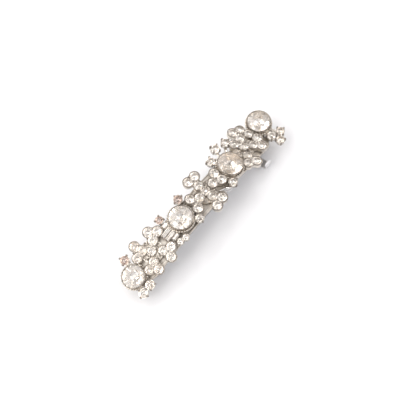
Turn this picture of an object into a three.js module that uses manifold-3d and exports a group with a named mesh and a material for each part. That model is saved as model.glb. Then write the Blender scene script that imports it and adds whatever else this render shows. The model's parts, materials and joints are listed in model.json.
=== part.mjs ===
// Rhinestone hair clip: a French spring clip under an arched strip that carries
// three four-petal flowers, four large round stones, a row of baguettes, a
// marquise leaf and fifteen single chatons. Millimetres, +Z up.
// The clip is closed and lies on the flat underside of its clasp arm (z = 0).
import * as THREE from 'three';
import { mergeVertices } from 'three/addons/utils/BufferGeometryUtils.js';
import Module from 'manifold-3d';

// ---- arch of the strip
const CROWN_Z = 11.75;        // top of the backing strip at mid length
const ARCH_DROP = 6.0;        // how far it falls at ARCH_X
const ARCH_X = 37.0;
const ARCH_STEPS = 20;
const BACKING = { halfLength: 38.0, halfWidth: 5.2, thickness: 0.9, cornerRadius: 4.2 };
const PLATE = { x0: -34.4, x1: 33.6, halfWidth: 3.7, thickness: 0.8, gap: 0.1 };

// ---- hinge end
const HINGE = { x: -32.5, z: 1.5, pinR: 0.55, earHoleR: 0.65, armHoleR: 0.66, earIn: 3.1, earOut: 3.7, earR: 1.3, headR: 0.95, headT: 0.45, headGap: 0.1 };
const ARM = { halfWidth: 2.9, flange: 0.6, webT: 0.7, flangeH: 2.3, x1: 25.0, rampX: 27.4, endX: 34.6, endZ: 1.6, endT: 0.8, endHalfWidth: 3.5, windowX0: 27.9, windowX1: 32.1, windowHalf: 2.0 };
const BOW = { x0: -29.6, x1: 24.0, halfWidth: 1.7, thickness: 0.4, rootZ: 2.95, topZ: 4.45, tipZ: 1.25, holeR: 0.6 };
const ANCHOR = { x0: -29.6, x1: -27.4, halfWidth: 1.7, z0: 3.32, holeR: 0.56 };

// ---- catch end
const CATCH = { x0: 27.8, x1: 32.2, z0: 4.7, halfWidth: 2.6, gap: 0.14, legX0: 28.3, legX1: 31.7, legT: 0.45 };
const RIVET = { shaftR: 0.5, headR: 0.95, headT: 0.4, hingeX: -30.9 + 4.8, catchX: 30.0, holeR: 0.6 };

// ---- stones
const GIRDLE = 2.3;           // girdle height of a flower stone above the strip
const GIRDLE_SINGLE = 2.1;
const GIRDLE_LARGE = 4.0;
const FOOT = 0.14;            // clearance between a setting and the strip
const WALL = 0.36;            // cup wall
const CLEAR = 0.1;            // clearance cut between neighbouring settings
const WEB_Z = [0.15, 0.33];   // height above the girdle of the web that joins the stones of a petal
const SMALL_SIDES = 8;
const LARGE_SIDES = 12;

// Each station sits on the arch at x; stones are [along, across, radius].
const FLOWERS = {
  flower_left: { x: -28.21, centre: [0.0, 1.85, 1.65],
    petals: {
      petal_a: [[3.3, 3.98, 1.85], [4.7, 7.52, 1.85], [7.3, 4.9, 1.8]],
      petal_b: [[-2.0, 4.75, 1.78], [-2.72, 8.33, 1.8], [-5.6, 4.52, 1.78]],
      petal_c: [[2.75, -1.5, 1.72], [5.9, -3.0, 1.75], [2.87, -5.44, 1.9]],
      petal_d: [[-2.7, -1.2, 1.72], [-6.1, -1.9, 1.72], [-3.73, -4.65, 1.85]],
    } },
  flower_mid: { x: 1.96, centre: [0.0, 0.54, 1.6],
    petals: {
      petal_a: [[0.08, 4.06, 1.8], [2.2, 7.77, 1.8], [-1.4, 8.11, 1.8]],
      petal_b: [[4.4, 0.6, 1.85], [7.95, 2.76, 1.85], [7.95, -1.1, 1.85]],
      petal_c: [[0.0, -2.92, 1.78], [2.2, -5.95, 1.88], [-1.6, -6.65, 1.85]],
      petal_d: [[-3.56, 0.61, 1.8], [-6.34, 3.03, 1.85], [-7.2, -1.68, 1.88]],
    } },
  flower_right: { x: 26.74, centre: [0.0, 1.81, 1.7],
    petals: {
      petal_a: [[2.09, 5.2, 1.85], [2.16, 9.0, 1.75], [5.39, 7.66, 1.72]],
      petal_b: [[3.24, -0.5, 1.75], [7.3, 0.42, 1.85], [5.58, -3.25, 1.8]],
      petal_c: [[-2.18, -1.9, 1.78], [-4.9, -4.3, 1.8], [-1.65, -6.2, 1.85]],
      petal_d: [[-1.89, 5.13, 1.8]],
      petal_e: [[6.24, 4.01, 1.72]],
    } },
};
// Large round stones, each cup carrying the single chatons soldered to it.
// tilt is how far the cup leans with the arch (1 = square to the strip).
const LARGE = {
  setting_end_right: { x: 39.0, tilt: 0.15, big: [1.29, 4.3, 4.6], foot: [-3.5, 0.6],
    singles: { chaton_13: [0.34, -2.99, 1.7], chaton_14: [4.28, -4.4, 1.6], chaton_15: [1.27, -6.8, 1.65] } },
  setting_mid_right: { x: 16.41, tilt: 1, big: [0.0, 0.31, 4.9], foot: [0, 0],
    singles: { chaton_01: [2.22, 9.4, 1.7], chaton_02: [7.1, 8.2, 1.65], chaton_03: [-3.4, 7.05, 1.65], chaton_12: [-4.74, -5.1, 1.65] } },
  setting_mid_left: { x: -12.2, tilt: 1, big: [0.0, 0.81, 4.65], foot: [0, 0],
    singles: { chaton_04: [5.25, 6.61, 1.7], chaton_09: [4.57, -4.6, 1.6] } },
  setting_end_left: { x: -39.19, tilt: 1, big: [0.0, 1.1, 4.4], foot: [3.5, 0],
    singles: { chaton_06: [2.53, 8.1, 1.75], chaton_07: [-2.9, -5.45, 1.7], chaton_08: [1.2, -5.45, 1.75] } },
};
const COLLAR = { out: 0.72, z1: 2.3 };   // beaded collar round each large cup
const BAGUETTE_STATION = -18.85;
const BAGUETTES = {           // [along, across, half length, half width]
  baguette_1: [1.25, 4.1, 1.6, 0.78],
  baguette_2: [-0.75, 2.05, 2.45, 0.86],
  baguette_3: [-0.75, 0.0, 2.45, 0.8],
  baguette_4: [0.15, -1.95, 1.6, 0.76],
};
const BAGUETTE_TOP = 2.2;
const BAGUETTE_SINGLES = { chaton_05: [1.3, 7.1, 1.5], chaton_10: [2.35, -5.2, 1.15], chaton_11: [-0.1, -4.6, 1.15] };
const LEAF = { station: 10, ends: [[-4.3, -3.05], [0.95, -6.2]], halfWidth: 1.15, z0: 0.5, z1: 1.35 };

// ---- solids
const wasm = await Module();
wasm.setup();

function solid(geometry) {
  const g0 = geometry.clone();
  for (const k of Object.keys(g0.attributes)) if (k !== 'position') g0.deleteAttribute(k);
  const g = mergeVertices(g0, 1e-4);
  const p = g.attributes.position, ix = g.index.array;
  const tri = [];
  let vol = 0;
  const a = new THREE.Vector3(), b = new THREE.Vector3(), c = new THREE.Vector3();
  for (let i = 0; i < ix.length; i += 3) {
    const [i0, i1, i2] = [ix[i], ix[i + 1], ix[i + 2]];
    if (i0 === i1 || i1 === i2 || i0 === i2) continue;
    tri.push(i0, i1, i2);
    a.fromBufferAttribute(p, i0); b.fromBufferAttribute(p, i1); c.fromBufferAttribute(p, i2);
    vol += a.dot(b.cross(c));
  }
  if (vol < 0) for (let i = 0; i < tri.length; i += 3) [tri[i + 1], tri[i + 2]] = [tri[i + 2], tri[i + 1]];
  return new wasm.Manifold(new wasm.Mesh({ numProp: 3, vertProperties: new Float32Array(p.array), triVerts: new Uint32Array(tri) }));
}

function union(list) {
  let m = list[0];
  for (const s of list.slice(1)) m = m.add(s);
  return m;
}

function largest(m) {
  const parts = m.decompose();
  return parts.reduce((best, q) => (q.volume() > best.volume() ? q : best), parts[0]);
}

function toGeometry(m) {
  const mesh = m.getMesh();
  const n = mesh.numProp, count = mesh.vertProperties.length / n;
  const pos = new Float32Array(count * 3);
  for (let i = 0; i < count; i++) for (let k = 0; k < 3; k++) pos[3 * i + k] = mesh.vertProperties[n * i + k];
  const g = new THREE.BufferGeometry();
  g.setAttribute('position', new THREE.BufferAttribute(pos, 3));
  g.setIndex(Array.from(mesh.triVerts));
  g.computeVertexNormals();
  return g;
}

// turned shape about +Z from [radius, height] pairs
function turned(profile, sides, phase = 0) {
  const g = new THREE.LatheGeometry(profile.map(([r, z]) => new THREE.Vector2(r, z)), sides, phase);
  g.rotateX(Math.PI / 2);
  return g;
}

// shape drawn in X-Z, given thickness along Y
function slabXZ(points, y0, y1, holes = []) {
  const s = new THREE.Shape(points.map(([x, z]) => new THREE.Vector2(x, z)));
  for (const h of holes) s.holes.push(new THREE.Path(h.map(([x, z]) => new THREE.Vector2(x, z))));
  const g = new THREE.ExtrudeGeometry(s, { depth: y1 - y0, bevelEnabled: false, steps: 1 });
  g.rotateX(Math.PI / 2);           // shape y -> +z, depth -> -y
  g.translate(0, y1, 0);
  return g;
}

// shape drawn in Y-Z, given thickness along X
function slabYZ(points, x0, x1) {
  const s = new THREE.Shape(points.map(([y, z]) => new THREE.Vector2(y, z)));
  const g = new THREE.ExtrudeGeometry(s, { depth: x1 - x0, bevelEnabled: false, steps: 1 });
  const m = new THREE.Matrix4().set(0, 0, 1, x0, 1, 0, 0, 0, 0, 1, 0, 0, 0, 0, 0, 1);
  g.applyMatrix4(m);
  return g;
}

// shape drawn in plan, given height along Z
function slabXY(points, z0, z1) {
  const s = new THREE.Shape(points.map(([x, y]) => new THREE.Vector2(x, y)));
  const g = new THREE.ExtrudeGeometry(s, { depth: z1 - z0, bevelEnabled: false, steps: 1 });
  g.translate(0, 0, z0);
  return g;
}

function box(x0, x1, y0, y1, z0, z1) {
  const g = new THREE.BoxGeometry(x1 - x0, y1 - y0, z1 - z0);
  g.translate((x0 + x1) / 2, (y0 + y1) / 2, (z0 + z1) / 2);
  return g;
}

function ring(cx, cz, r, sides, phase = 0) {
  return Array.from({ length: sides }, (_, i) => {
    const t = phase + (2 * Math.PI * i) / sides;
    return [cx + r * Math.cos(t), cz + r * Math.sin(t)];
  });
}

// outline of a path of constant thickness in a plane
function ribbon(points, t) {
  const left = [], right = [];
  for (let i = 0; i < points.length; i++) {
    const p = points[i], q = points[Math.min(i + 1, points.length - 1)], o = points[Math.max(i - 1, 0)];
    const d1 = new THREE.Vector2(p[0] - o[0], p[1] - o[1]).normalize();
    const d2 = new THREE.Vector2(q[0] - p[0], q[1] - p[1]).normalize();
    const u = i === 0 ? d2 : i === points.length - 1 ? d1 : d1.clone().add(d2).normalize();
    const ref = i === 0 ? d2 : d1;
    const k = t / 2 / Math.max(0.5, Math.abs(u.dot(ref)));
    left.push([p[0] - u.y * k, p[1] + u.x * k]);
    right.push([p[0] + u.y * k, p[1] - u.x * k]);
  }
  return left.concat(right.reverse());
}

const archZ = (x) => CROWN_Z - ARCH_DROP * (x / ARCH_X) ** 2;

// arched band between two heights below (or above) the crown line
function archBand(x0, x1, y0, y1, top, bottom, steps = ARCH_STEPS) {
  const up = [], down = [];
  for (let i = 0; i <= steps; i++) {
    const x = x0 + ((x1 - x0) * i) / steps;
    up.push([x, archZ(x) + top]);
    down.push([x, archZ(x) + bottom]);
  }
  return slabXZ(down.concat(up.reverse()), y0, y1);
}

// local frame standing on the arch at x
function station(x, tilt = 1) {
  const th = tilt * Math.atan((-2 * ARCH_DROP * x) / ARCH_X ** 2);
  const c = Math.cos(th), s = Math.sin(th);
  return new THREE.Matrix4().set(c, 0, -s, x, 0, 1, 0, 0, s, 0, c, archZ(x), 0, 0, 0, 1);
}

function placed(geometry, u, v, w, frame) {
  const g = geometry.clone();
  g.translate(u, v, w);
  if (frame) g.applyMatrix4(frame);
  return g;
}

// low bar joining two cups, in a local frame
function bar([u0, v0], [u1, v1], frame, half, z0, z1) {
  const len = Math.hypot(u1 - u0, v1 - v0);
  const g = new THREE.BoxGeometry(len, 2 * half, z1 - z0);
  g.rotateZ(Math.atan2(v1 - v0, u1 - u0));
  g.translate((u0 + u1) / 2, (v0 + v1) / 2, (z0 + z1) / 2);
  g.applyMatrix4(frame);
  return g;
}

// ---- stones and cups (height 0 is the strip surface)
function stoneShape(r, girdle, sides, grow = 0, depth = 0.62, crown = 0.3) {
  return turned([[0, girdle - depth * r - grow * 1.4], [r + grow, girdle], [0.62 * r + grow, girdle + crown * r + grow], [0, girdle + crown * r + grow]], sides);
}
function cupShape(r, girdle, sides, grow = 0, taper = 0.94) {
  const o = r + WALL + grow;
  return turned([[0, FOOT - grow], [o * taper, FOOT - grow], [o, girdle + 0.1 + grow], [0, girdle + 0.1 + grow]], sides);
}
function cavityShape(r, girdle, sides, depth = 0.62) {
  const floor = girdle - depth * r - 0.1;
  return turned([[0, floor], [r + 0.07, floor], [r + 0.07, girdle + 2.5], [0, girdle + 2.5]], sides);
}
function prongShapes(r, girdle, phase, grow = 0) {
  return [0, 1, 2, 3].map((i) => {
    const t = phase + (i * Math.PI) / 2, q = r + 0.46;
    const g = turned([[0, 0.5 - grow], [0.26 + grow, 0.5 - grow], [0.36 + grow, girdle + 0.15], [0, girdle + 0.5 + grow]], 5);
    g.translate(q * Math.cos(t), q * Math.sin(t), 0);
    return g;
  });
}

// ---- collect the settings
const settings = [];          // { name, frame, stones:[{name,u,v,r,girdle,sides,prongs}], bars }
for (const [name, f] of Object.entries(FLOWERS)) {
  const frame = station(f.x), stones = [], bars = [];
  stones.push({ node: `${name}_centre_stone`, u: f.centre[0], v: f.centre[1], r: f.centre[2], girdle: GIRDLE + 0.15, sides: SMALL_SIDES });
  for (const [petal, list] of Object.entries(f.petals)) {
    list.forEach(([u, v, r], i) => {
      stones.push({ node: `${name}_${petal}_stones`, u, v, r, girdle: GIRDLE, sides: SMALL_SIDES });
      const from = i === 0 ? f.centre : list[0];
      // cups that do not already run into each other get a low bar
      if (Math.hypot(from[0] - u, from[1] - v) > from[2] + r + 2 * WALL - 0.25) bars.push([[from[0], from[1]], [u, v]]);
    });
  }
  settings.push({ name: `${name}_casting`, frame, stones, bars });
}
for (const [name, g] of Object.entries(LARGE)) {
  const frame = station(g.x, g.tilt);
  const [u, v, r] = g.big;
  const stones = [{ node: name.replace('setting', 'large_stone'), u, v, r, girdle: GIRDLE_LARGE, sides: LARGE_SIDES, large: true }];
  const bars = [[[u, v], g.foot]];
  for (const [node, [a, b, q]] of Object.entries(g.singles)) {
    stones.push({ node, u: a, v: b, r: q, girdle: GIRDLE_SINGLE, sides: SMALL_SIDES, prongs: true });
    bars.push([[u, v], [a, b]]);
  }
  if (name === 'setting_end_right') bars.push([[0.34, -2.99], [4.28, -4.4]], [[0.34, -2.99], [1.27, -6.8]]);
  settings.push({ name, frame, stones, bars });
}
{
  const frame = station(BAGUETTE_STATION), stones = [], bars = [];
  for (const [node, [u, v, r]] of Object.entries(BAGUETTE_SINGLES)) {
    stones.push({ node, u, v, r, girdle: GIRDLE_SINGLE, sides: SMALL_SIDES, prongs: r > 1.3 });
    bars.push([[0, 0], [u, v]]);
  }
  settings.push({ name: 'baguette_channel', frame, stones, bars, channel: true });
}

const baguetteShape = ([u, v, hl, hw], grow = 0) => {
  const pts = [[-hw - grow, 1.15 - grow], [hw + grow, 1.15 - grow], [hw + grow, BAGUETTE_TOP - 0.35], [hw * 0.5 + grow, BAGUETTE_TOP + grow], [-hw * 0.5 - grow, BAGUETTE_TOP + grow], [-hw - grow, BAGUETTE_TOP - 0.35]];
  const g = slabYZ(pts, -hl - grow, hl + grow);
  g.translate(u, v, 0);
  return g;
};

function body(s, grow = 0) {
  const list = [];
  for (const q of s.stones) {
    list.push(solid(placed(cupShape(q.r, q.prongs ? q.girdle - 0.35 : q.girdle, q.sides, grow, q.large ? 0.94 : 0.94), q.u, q.v, 0, s.frame)));
    if (q.large) list.push(solid(placed(turned([[0, FOOT - grow], [q.r + COLLAR.out + grow, FOOT - grow], [q.r + COLLAR.out + grow, COLLAR.z1 + grow], [0, COLLAR.z1 + grow]], q.sides), q.u, q.v, 0, s.frame)));
    if (q.prongs) for (const p of prongShapes(q.r, q.girdle, Math.atan2(q.v, q.u) + 0.6, grow)) list.push(solid(placed(p, q.u, q.v, 0, s.frame)));
  }
  for (const [p, q] of s.bars) list.push(solid(bar(p, q, s.frame, 0.75 + grow, FOOT + 0.02 - grow, 0.9 + grow)));
  if (s.channel) {
    for (const q of Object.values(BAGUETTES)) {
      const [u, v, hl, hw] = q;
      list.push(solid(placed(box(u - hl - 0.3 - grow, u + hl + 0.3 + grow, v - hw - 0.3 - grow, v + hw + 0.3 + grow, FOOT + 0.01 - grow, 1.6 + grow), 0, 0, 0, s.frame)));
    }
  }
  return union(list);
}
function stonesOf(s, grow) {
  const list = s.stones.map((q) => solid(placed(stoneShape(q.r, q.girdle, q.sides, grow), q.u, q.v, 0, s.frame)));
  if (s.channel) for (const q of Object.values(BAGUETTES)) list.push(solid(placed(baguetteShape(q, grow), 0, 0, 0, s.frame)));
  return union(list);
}

const near = (a, b) => Math.abs(a.frame.elements[12] - b.frame.elements[12]) < 26;
const built = {};
// the flowers keep their full outline, the larger cups are relieved around them
for (let j = 0; j < settings.length; j++) {
  const s = settings[j];
  let m = body(s);
  for (const q of s.stones) m = m.subtract(solid(placed(cavityShape(q.r, q.girdle, q.sides), q.u, q.v, 0, s.frame)));
  if (s.channel) for (const q of Object.values(BAGUETTES)) m = m.subtract(solid(placed(baguetteShape(q, 0.08), 0, 0, 0, s.frame)));
  for (let i = 0; i < settings.length; i++) {
    if (i === j || !near(s, settings[i])) continue;
    if (i < j) m = m.subtract(body(settings[i], CLEAR));
    m = m.subtract(stonesOf(settings[i], 0.1));
  }
  // the level end cup is notched over the end of the strip
  if (s.name === 'setting_end_right') {
    const W = BACKING.halfWidth + 0.12;
    m = m.subtract(solid(archBand(30, BACKING.halfLength + 0.12, -W, W, 0.12, -BACKING.thickness - 0.2, 8)));
  }
  built[s.name] = largest(m);
}

// ---- mechanism
const nodes = [];
const add = (name, m, look) => nodes.push([name, m, look]);
const SILVER = { color: 0xb9b4ae, roughness: 0.28, metalness: 1 };
const STEEL = { color: 0xa9aaac, roughness: 0.38, metalness: 1 };
const SPRING = { color: 0x9fa2a6, roughness: 0.32, metalness: 1 };
const GLASS = { color: 0xeae4dc, roughness: 0.05, metalness: 0.1 };

// backing strip with raised lips and rounded ends
{
  const B = BACKING;
  const L = B.halfLength, W = B.halfWidth, R = B.cornerRadius;
  const outline = [];
  for (const [cx, cy, a0] of [[L - R, W - R, 0], [-(L - R), W - R, 90], [-(L - R), -(W - R), 180], [L - R, -(W - R), 270]])
    for (let i = 0; i <= 3; i++) { const t = ((a0 + i * 30) * Math.PI) / 180; outline.push([cx + R * Math.cos(t), cy + R * Math.sin(t)]); }
  let m = solid(archBand(-L - 1, L + 1, -W - 1, W + 1, 0, -B.thickness));
  m = m.intersect(solid(slabXY(outline, -5, 20)));
  for (const x of [RIVET.hingeX, RIVET.catchX]) m = m.subtract(solid(placed(turned([[0, -3], [RIVET.holeR, -3], [RIVET.holeR, 3], [0, 3]], 10), x, 0, archZ(x) - 0.2)));
  add('backing_strip', m, SILVER);
}

const plateTop = -BACKING.thickness - PLATE.gap, plateBottom = plateTop - PLATE.thickness;
// spring-clip plate with hinge ears and bow anchor
{
  const P = PLATE, H = HINGE;
  let m = solid(archBand(P.x0, P.x1, -P.halfWidth, P.halfWidth, plateTop, plateBottom, 18));
  const lid = (x) => archZ(x) + plateTop - 0.2;
  for (const s of [-1, 1]) {
    const pts = [[H.x - H.earR, lid(H.x - H.earR)], [H.x - H.earR, H.z]];
    for (let i = 1; i < 6; i++) { const t = Math.PI + (Math.PI * i) / 6; pts.push([H.x + H.earR * Math.cos(t), H.z + H.earR * Math.sin(t)]); }
    pts.push([H.x + H.earR, H.z], [H.x + H.earR, lid(H.x + H.earR)]);
    m = m.add(solid(slabXZ(pts, s < 0 ? -H.earOut : H.earIn, s < 0 ? -H.earIn : H.earOut)));
  }
  m = m.subtract(solid(slabXZ(ring(H.x, H.z, H.earHoleR, 12), -5, 5)));
  m = m.add(solid(slabXZ([[ANCHOR.x0, ANCHOR.z0], [ANCHOR.x1, ANCHOR.z0], [ANCHOR.x1, archZ(ANCHOR.x1) + plateTop - 0.3], [ANCHOR.x0, archZ(ANCHOR.x0) + plateTop - 0.3]], -ANCHOR.halfWidth, ANCHOR.halfWidth)));
  const ax = (ANCHOR.x0 + ANCHOR.x1) / 2;
  m = m.subtract(solid(placed(turned([[0, 0], [ANCHOR.holeR, 0], [ANCHOR.holeR, 2.2], [0, 2.2]], 10), ax, 0, ANCHOR.z0 - 0.5)));
  for (const x of [RIVET.hingeX, RIVET.catchX]) m = m.subtract(solid(placed(turned([[0, -3], [RIVET.holeR, -3], [RIVET.holeR, 3], [0, 3]], 10), x, 0, archZ(x) + plateBottom)));
  add('clip_plate', m, STEEL);
}

// hinge pin
{
  const H = HINGE, y = H.earOut + H.headGap;
  const g = turned([[0, -y - H.headT], [H.headR, -y - H.headT], [H.headR, -y], [H.pinR, -y], [H.pinR, y], [H.headR, y], [H.headR, y + H.headT], [0, y + H.headT]], 12);
  g.rotateX(Math.PI / 2);
  g.translate(H.x, 0, H.z);
  add('hinge_pin', solid(g), STEEL);
}

// clasp arm: a channel with a stepped, windowed free end
{
  const A = ARM, H = HINGE;
  const web = [[H.x + 1.7, 0], [A.x1, 0], [A.rampX, A.endZ], [A.endX, A.endZ], [A.endX, A.endZ + A.endT], [A.rampX - 0.35, A.endZ + A.endT], [A.x1 - 0.35, A.webT], [H.x + 1.7, A.webT]];
  let m = solid(slabXZ(web, -A.halfWidth, A.halfWidth));
  m = m.add(solid(slabXY([[A.rampX, -A.endHalfWidth], [A.endX - 1, -A.endHalfWidth], [A.endX, -A.endHalfWidth + 1.4], [A.endX, A.endHalfWidth - 1.4], [A.endX - 1, A.endHalfWidth], [A.rampX, A.endHalfWidth]], A.endZ, A.endZ + A.endT)));
  for (const s of [-1, 1]) {
    const pts = [[H.x, 0], [A.x1, 0], [A.x1, A.webT], [A.x1 - 3.5, A.flangeH], [H.x + 1.3, A.flangeH + 0.25]];
    for (let i = 1; i <= 8; i++) { const t = Math.PI / 2 - 0.5 + ((Math.PI + 0.5) * i) / 9; pts.push([H.x + 1.5 * Math.cos(t), H.z + 1.5 * Math.sin(t)]); }
    m = m.add(solid(slabXZ(pts, s < 0 ? -A.halfWidth : A.halfWidth - A.flange, s < 0 ? -A.halfWidth + A.flange : A.halfWidth)));
  }
  m = m.subtract(solid(slabXZ(ring(H.x, H.z, H.armHoleR, 12), -5, 5)));
  m = m.subtract(solid(box(A.windowX0, A.windowX1, -A.windowHalf, A.windowHalf, 0.5, 4)));
  add('clasp_arm', m, STEEL);
}

// tension bow: thin leaf spring riveted under the anchor
{
  const B = BOW, mid = (ANCHOR.x1 + B.x1) / 2;
  const line = [[B.x0, B.rootZ], [ANCHOR.x1 + 0.3, B.rootZ]];
  const n = 12, xa = ANCHOR.x1 + 0.3;
  for (let i = 1; i <= n; i++) {
    const x = xa + ((B.x1 - xa) * i) / n, k = i / n;
    const chord = B.rootZ + (B.tipZ - B.rootZ) * k;
    line.push([x, chord + (B.topZ - (B.rootZ + B.tipZ) / 2) * 4 * k * (1 - k)]);
  }
  let m = solid(slabXZ(ribbon(line, B.thickness), -B.halfWidth, B.halfWidth));
  const ax = (ANCHOR.x0 + ANCHOR.x1) / 2;
  m = m.subtract(solid(placed(turned([[0, 0], [B.holeR, 0], [B.holeR, 1.2], [0, 1.2]], 10), ax, 0, B.rootZ - 0.6)));
  add('tension_bow', m, SPRING);
  const r = turned([[0, -0.75], [RIVET.headR * 0.8, -0.75], [RIVET.headR, -0.35], [0.42, -0.35], [0.42, 1.6], [0, 1.6]], 10);
  add('bow_rivet', solid(placed(r, ax, 0, B.rootZ)), STEEL);
}

// catch base, its rivet and the two squeeze legs
{
  const C = CATCH;
  const lid = (x) => archZ(x) + plateBottom - C.gap;
  let m = solid(slabXZ([[C.x0, C.z0], [C.x1, C.z0], [C.x1, lid(C.x1)], [C.x0, lid(C.x0)]], -C.halfWidth, C.halfWidth));
  m = m.subtract(solid(placed(turned([[0, 0], [RIVET.holeR, 0], [RIVET.holeR, 3], [0, 3]], 10), RIVET.catchX, 0, C.z0 - 0.4)));
  add('catch_base', m, STEEL);
  for (const [s, name] of [[1, 'catch_leg_left'], [-1, 'catch_leg_right']]) {
    const path = [[2.95, 5.5], [2.95, 4.45], [1.68, 3.75], [1.68, 1.25], [2.45, 0.72], [6.5, 1.05], [8.2, 1.75], [9.0, 2.8], [8.8, 3.9], [8.0, 4.35]];
    const flip = (list) => list.map(([y, z]) => [s * y, z]);
    let leg = solid(slabYZ(flip(ribbon(path, C.legT)), C.legX0, C.legX1));
    leg = leg.add(solid(slabYZ(flip([[1.75, 1.5], [2.45, 1.5], [2.35, 1.1], [1.75, 0.95]]), C.legX0 + 0.4, C.legX1 - 0.4)));
    add(name, leg, SPRING);
  }
}
for (const [name, x, low] of [['rivet_hinge_end', RIVET.hingeX, archZ(RIVET.hingeX) + plateBottom - 0.36], ['rivet_catch_end', RIVET.catchX, CATCH.z0 - 0.12]]) {
  const top = archZ(x) - 0.15;
  add(name, solid(placed(turned([[0, low - RIVET.headT], [RIVET.headR * 0.8, low - RIVET.headT], [RIVET.headR, low], [RIVET.shaftR, low], [RIVET.shaftR, top], [0, top]], 10), x, 0, 0)), STEEL);
}

// ---- settings and stones into the model
for (const s of settings) add(s.name, built[s.name], SILVER);
const stoneNodes = new Map();
for (const s of settings) {
  for (const q of s.stones) {
    if (!stoneNodes.has(q.node)) stoneNodes.set(q.node, []);
    stoneNodes.get(q.node).push([s, q]);
  }
}
for (const [node, list] of stoneNodes) {
  const parts = list.map(([s, q]) => solid(placed(stoneShape(q.r, q.girdle, q.sides), q.u, q.v, 0, s.frame)));
  if (list.length > 1) {
    // a thin web just above the rims joins the stones of one petal
    const [s, q0] = list[0];
    for (const [, q] of list.slice(1)) parts.push(solid(bar([q0.u, q0.v], [q.u, q.v], s.frame, 0.16, q.girdle + WEB_Z[0], q.girdle + WEB_Z[1])));
  }
  add(node, union(parts), GLASS);
}
{
  const frame = station(BAGUETTE_STATION);
  for (const [node, q] of Object.entries(BAGUETTES)) add(node, solid(placed(baguetteShape(q), 0, 0, 0, frame)), GLASS);
}
// marquise leaf on a low foot
{
  const L = LEAF, frame = station(L.station), [a, b] = L.ends;
  const cx = (a[0] + b[0]) / 2, cy = (a[1] + b[1]) / 2, len = Math.hypot(b[0] - a[0], b[1] - a[1]) / 2, th = Math.atan2(b[1] - a[1], b[0] - a[0]);
  const pts = [], low = [];
  for (let i = 0; i < 12; i++) {
    const t = (2 * Math.PI * i) / 12;
    pts.push([len * Math.cos(t), L.halfWidth * Math.sin(t) * (1 - 0.35 * Math.cos(t) ** 2)]);
  }
  const g = slabXY(pts, L.z0, L.z1);
  g.rotateZ(th);
  g.translate(cx, cy, 0);
  g.applyMatrix4(frame);
  const foot = turned([[0, 0.6], [0.5, 0.6], [0.5, FOOT + 0.2], [0, FOOT + 0.2]], 8);
  let m = solid(g).add(solid(placed(foot, cx, cy, 0, frame)));
  for (const s of settings) m = m.subtract(body(s, CLEAR)).subtract(stonesOf(s, 0.1));
  add('marquise_leaf', largest(m), SILVER);
}

const group = new THREE.Group();
group.name = 'rhinestone_hair_clip';
for (const [name, m, look] of nodes) {
  const mesh = new THREE.Mesh(toGeometry(m), new THREE.MeshStandardMaterial(look));
  mesh.name = name;
  group.add(mesh);
}
export default group;
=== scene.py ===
# Rhinestone hair clip: fine settings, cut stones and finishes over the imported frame.
import bpy, math, json, random
import bmesh
import numpy as np
from mathutils import Matrix, Vector
from mathutils.geometry import delaunay_2d_cdt

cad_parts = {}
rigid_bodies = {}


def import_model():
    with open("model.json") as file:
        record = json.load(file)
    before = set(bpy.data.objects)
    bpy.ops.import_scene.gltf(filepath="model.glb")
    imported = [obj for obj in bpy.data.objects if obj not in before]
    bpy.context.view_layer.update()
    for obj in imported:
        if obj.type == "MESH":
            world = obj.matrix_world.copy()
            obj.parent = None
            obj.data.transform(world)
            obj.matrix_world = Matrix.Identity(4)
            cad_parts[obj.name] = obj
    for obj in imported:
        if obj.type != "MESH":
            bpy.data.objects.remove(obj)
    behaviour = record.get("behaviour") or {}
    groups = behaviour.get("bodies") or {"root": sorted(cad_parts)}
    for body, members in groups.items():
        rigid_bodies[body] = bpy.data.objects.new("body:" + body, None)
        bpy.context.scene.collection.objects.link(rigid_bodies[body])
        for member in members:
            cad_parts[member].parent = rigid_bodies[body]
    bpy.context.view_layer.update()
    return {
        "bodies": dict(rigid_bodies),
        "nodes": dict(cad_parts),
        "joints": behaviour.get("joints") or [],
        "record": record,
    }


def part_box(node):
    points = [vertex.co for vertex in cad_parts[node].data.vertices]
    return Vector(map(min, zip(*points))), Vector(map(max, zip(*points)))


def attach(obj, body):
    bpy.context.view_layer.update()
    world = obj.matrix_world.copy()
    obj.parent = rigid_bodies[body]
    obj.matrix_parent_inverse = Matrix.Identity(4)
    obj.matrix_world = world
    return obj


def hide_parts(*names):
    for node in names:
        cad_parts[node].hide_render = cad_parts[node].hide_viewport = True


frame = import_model()
MM = 0.001
rng = random.Random(7)

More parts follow.
